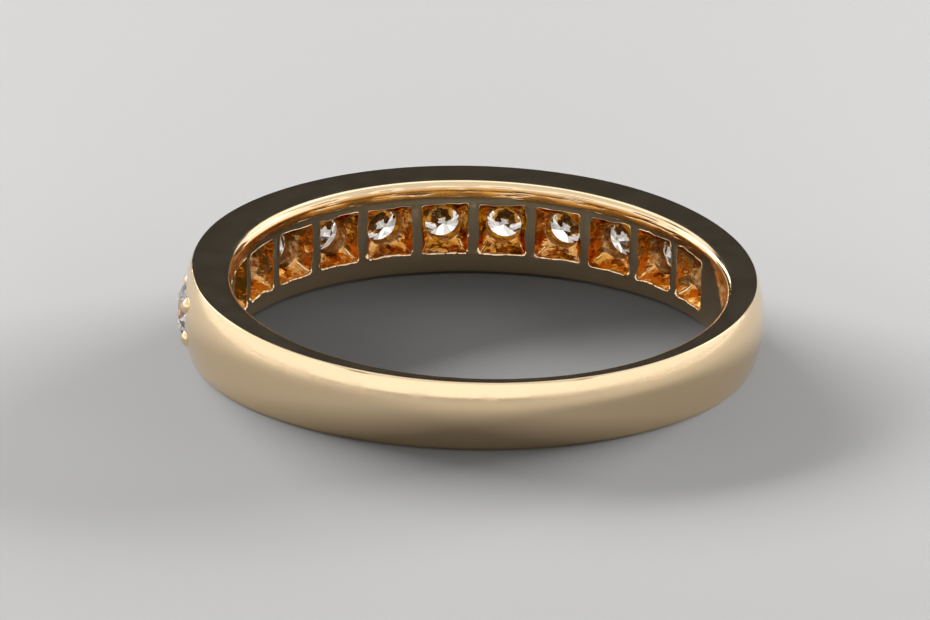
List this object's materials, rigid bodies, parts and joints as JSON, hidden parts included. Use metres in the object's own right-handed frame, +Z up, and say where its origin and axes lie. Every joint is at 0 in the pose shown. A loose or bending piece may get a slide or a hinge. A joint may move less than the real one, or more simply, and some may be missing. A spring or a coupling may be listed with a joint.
{
  "type": "half eternity ring",
  "caption": "Yellow gold half eternity ring: a grain-set row of round brilliants with square windows behind them, narrowing to a plain domed shank.",
  "frame": {"origin": "centre of the underside, on the surface that the ring lies on", "axes": "+Z up from the side face that the ring lies on; +Y towards the middle of the row of stones; the finger hole's axis leans 1.65 degrees from +Z towards -Y, because the band is wider at the stones"},
  "size_m": [0.0206, 0.02, 0.0036],
  "materials": {
    "gold": "polished",
    "diamond": "clear, faceted"
  },
  "bodies": {
    "root": {"band": "gold", "stone_01": "diamond", "stone_02": "diamond", "stone_03": "diamond", "stone_04": "diamond", "stone_05": "diamond", "stone_06": "diamond", "stone_07": "diamond", "stone_08": "diamond", "stone_09": "diamond", "stone_10": "diamond", "stone_11": "diamond", "stone_12": "diamond"}
  },
  "joints": []
}
